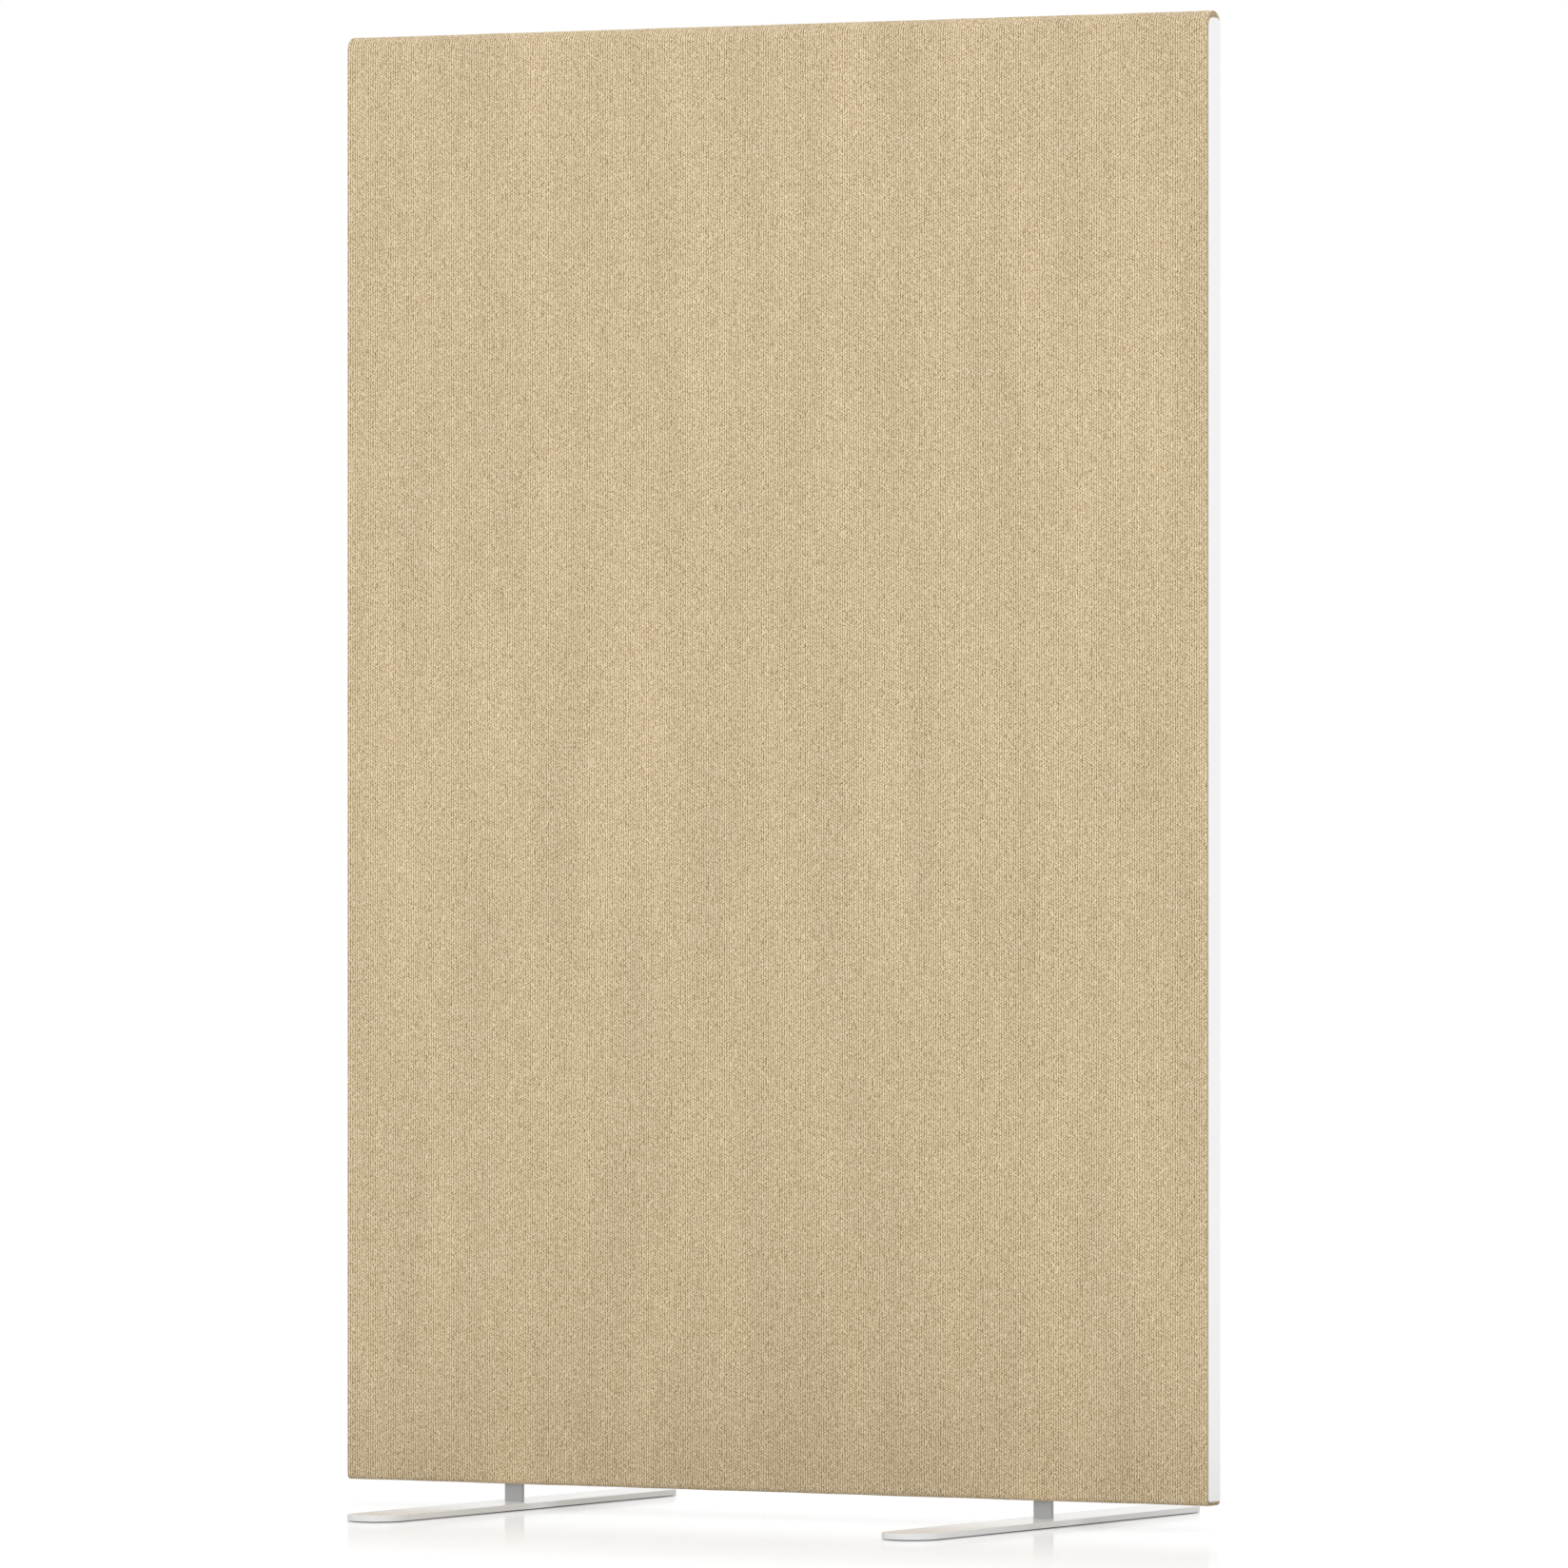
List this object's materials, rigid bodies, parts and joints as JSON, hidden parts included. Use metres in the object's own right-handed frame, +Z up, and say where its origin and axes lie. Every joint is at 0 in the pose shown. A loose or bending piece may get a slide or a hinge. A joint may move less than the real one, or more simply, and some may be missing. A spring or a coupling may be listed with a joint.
{
  "type": "free-standing acoustic divider screen",
  "caption": "Free-standing acoustic screen: ribbed cloth panel with a half-round top, white end strips and flat round-ended feet on short posts.",
  "frame": {"origin": "on the floor under the middle of the panel, midway between the feet", "axes": "+Z up; X along the panel; -Y towards the front face, feet set along Y"},
  "size_m": [1, 0.5898, 1.5],
  "materials": {
    "cover_cloth": "ribbed heathered beige knit, matt",
    "polyester_wadding": "white needled wadding",
    "absorber_board": "grey pressed fibre board",
    "frame_timber": "planed softwood, unfinished",
    "dowel_beech": "fluted beech, unfinished",
    "staple_wire": "galvanised wire",
    "white_strip": "satin white moulding",
    "white_foot_paint": "white powder coat, fine texture",
    "foot_pad": "black rubber",
    "grey_post_paint": "light grey powder coat",
    "plated_screw": "zinc plated",
    "insert_brass": "turned brass"
  },
  "bodies": {
    "root": {"fabric_cover": "cover_cloth", "wadding": "polyester_wadding", "lower_absorber": "absorber_board", "upper_absorber": "absorber_board", "bottom_rail": "frame_timber", "middle_rail": "frame_timber", "top_rail": "frame_timber", "left_stile": "frame_timber", "right_stile": "frame_timber", "frame_dowels": "dowel_beech", "hem_staples": "staple_wire", "end_staples": "staple_wire", "left_edge_strip": "white_strip", "right_edge_strip": "white_strip", "left_foot": "white_foot_paint", "right_foot": "white_foot_paint", "left_foot_pads": "foot_pad", "right_foot_pads": "foot_pad", "left_post": "grey_post_paint", "right_post": "grey_post_paint", "post_screws": "plated_screw", "threaded_inserts": "insert_brass"}
  },
  "joints": []
}
